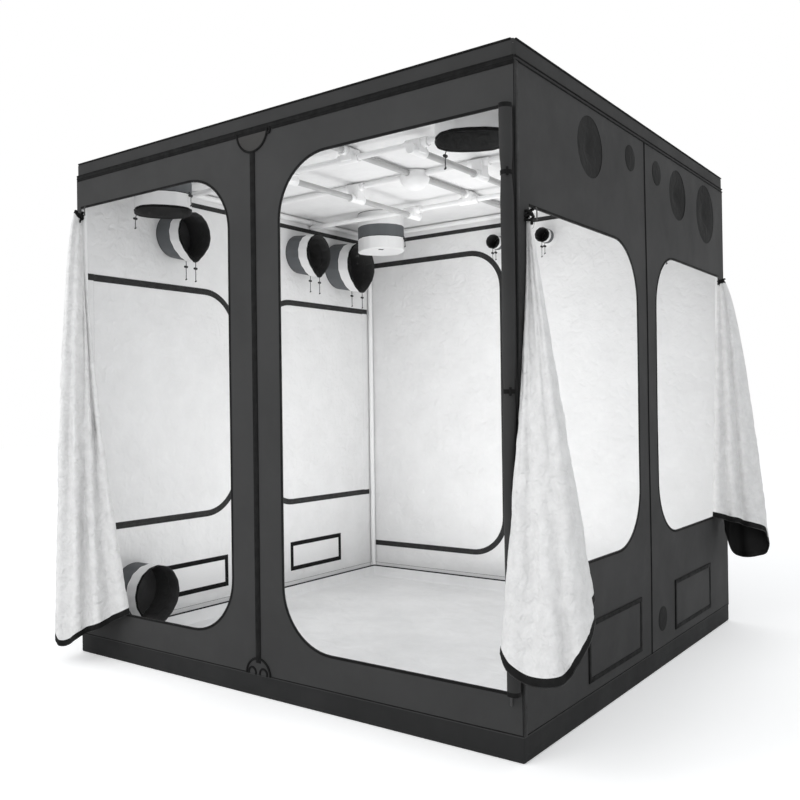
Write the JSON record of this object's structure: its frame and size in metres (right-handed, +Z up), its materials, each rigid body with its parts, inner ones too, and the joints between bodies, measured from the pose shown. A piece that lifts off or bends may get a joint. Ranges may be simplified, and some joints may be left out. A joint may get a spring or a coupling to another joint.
{
  "type": "indoor grow tent",
  "caption": "Square indoor grow tent: lined canvas cover on a pole frame, zip doors and windows, vents, drawstring duct sleeves, spill tray and hanging bars.",
  "frame": {"origin": "centre of the ground sheet's underside", "axes": "+Z up, -Y towards the front doors, +X to the right seen from the front"},
  "size_m": [2.2482, 2.2095, 2],
  "materials": {
    "dark_canvas": "matte",
    "base_canvas": "matte",
    "duct_cloth": "matte",
    "tray_film": "satin",
    "white_steel": "satin",
    "white_plastic": "matte"
  },
  "bodies": {
    "tent": {"back_panel": "dark_canvas", "base_corner_back_left": "white_plastic", "base_corner_back_right": "white_plastic", "base_corner_front_left": "white_plastic", "base_corner_front_right": "white_plastic", "base_rail_back": "white_steel", "base_rail_front": "white_steel", "base_rail_left": "white_steel", "base_rail_right": "white_steel", "ceiling_arm_back": "white_steel", "ceiling_arm_front": "white_steel", "ceiling_bar_across": "white_steel", "ceiling_hub": "white_plastic", "corner_post_back_left": "white_steel", "corner_post_back_right": "white_steel", "corner_post_front_left": "white_steel", "corner_post_front_right": "white_steel", "front_panel": "dark_canvas", "ground_sheet": "base_canvas", "hanging_bar_back": "white_steel", "hanging_bar_front": "white_steel", "hanging_bar_left": "white_steel", "hanging_bar_right": "white_steel", "left_panel": "dark_canvas", "left_sleeve_front": "duct_cloth", "left_sleeve_low": "duct_cloth", "left_sleeve_middle": "duct_cloth", "left_sleeve_rear": "duct_cloth", "middle_post_back": "white_steel", "middle_post_front": "white_steel", "right_panel": "dark_canvas", "right_sleeve_front": "duct_cloth", "right_sleeve_middle": "duct_cloth", "right_sleeve_rear": "duct_cloth", "roof_panel": "dark_canvas", "roof_sleeve_front_left": "duct_cloth", "roof_sleeve_front_right": "duct_cloth", "roof_sleeve_rear": "duct_cloth", "spill_tray": "tray_film", "top_corner_back_left": "white_plastic", "top_corner_back_right": "white_plastic", "top_corner_front_left": "white_plastic", "top_corner_front_right": "white_plastic", "top_rail_back": "white_steel", "top_rail_front": "white_steel", "top_rail_left": "white_steel", "top_rail_right": "white_steel"},
    "front_left_door": {"front_left_door": "dark_canvas"},
    "front_right_door": {"front_right_door": "dark_canvas"},
    "back_left_door": {"back_left_door": "dark_canvas"},
    "left_front_window": {"left_front_window": "dark_canvas"},
    "left_rear_window": {"left_rear_window": "dark_canvas"},
    "right_front_window": {"right_front_window": "dark_canvas"},
    "right_rear_window": {"right_rear_window": "dark_canvas"},
    "vent_flap_right_front": {"vent_flap_right_front": "dark_canvas"},
    "vent_flap_right_rear": {"vent_flap_right_rear": "dark_canvas"},
    "vent_flap_left_front": {"vent_flap_left_front": "dark_canvas"},
    "vent_flap_left_rear": {"vent_flap_left_rear": "dark_canvas"}
  },
  "joints": [
    {"name": "front_left_door_hinge", "type": "hinge", "parent": "tent", "child": "front_left_door", "pos_m": [-0.975, -1, 1], "axis": [0, 0, -1], "range_deg": [0, 23]},
    {"name": "front_right_door_hinge", "type": "hinge", "parent": "tent", "child": "front_right_door", "pos_m": [0.975, -1, 1], "axis": [0, 0, -1], "range_deg": [0, 60]},
    {"name": "back_left_door_hinge", "type": "hinge", "parent": "tent", "child": "back_left_door", "pos_m": [-0.975, 1, 1], "axis": [0, 0, 1], "range_deg": [0, 150]},
    {"name": "left_front_window_hinge", "type": "hinge", "parent": "tent", "child": "left_front_window", "pos_m": [-1, -0.925, 1.015], "axis": [0, 0, 1], "range_deg": [0, 120]},
    {"name": "left_rear_window_hinge", "type": "hinge", "parent": "tent", "child": "left_rear_window", "pos_m": [-1, 0.925, 1.015], "axis": [0, 0, -1], "range_deg": [0, 120]},
    {"name": "right_front_window_hinge", "type": "hinge", "parent": "tent", "child": "right_front_window", "pos_m": [1, -0.925, 1.015], "axis": [0, 0, 1], "range_deg": [0, 35]},
    {"name": "right_rear_window_hinge", "type": "hinge", "parent": "tent", "child": "right_rear_window", "pos_m": [1, 0.925, 1.015], "axis": [0, 0, 1], "range_deg": [0, 35]},
    {"name": "vent_flap_right_front_hinge", "type": "hinge", "parent": "tent", "child": "vent_flap_right_front", "pos_m": [1.0033, -0.335, 0.295], "axis": [0, -1, 0], "range_deg": [0, 120]},
    {"name": "vent_flap_right_rear_hinge", "type": "hinge", "parent": "tent", "child": "vent_flap_right_rear", "pos_m": [1.0033, 0.49, 0.295], "axis": [0, -1, 0], "range_deg": [0, 120]},
    {"name": "vent_flap_left_front_hinge", "type": "hinge", "parent": "tent", "child": "vent_flap_left_front", "pos_m": [-1.0033, -0.38, 0.295], "axis": [0, 1, 0], "range_deg": [0, 120]},
    {"name": "vent_flap_left_rear_hinge", "type": "hinge", "parent": "tent", "child": "vent_flap_left_rear", "pos_m": [-1.0033, 0.49, 0.295], "axis": [0, 1, 0], "range_deg": [0, 120]}
  ]
}
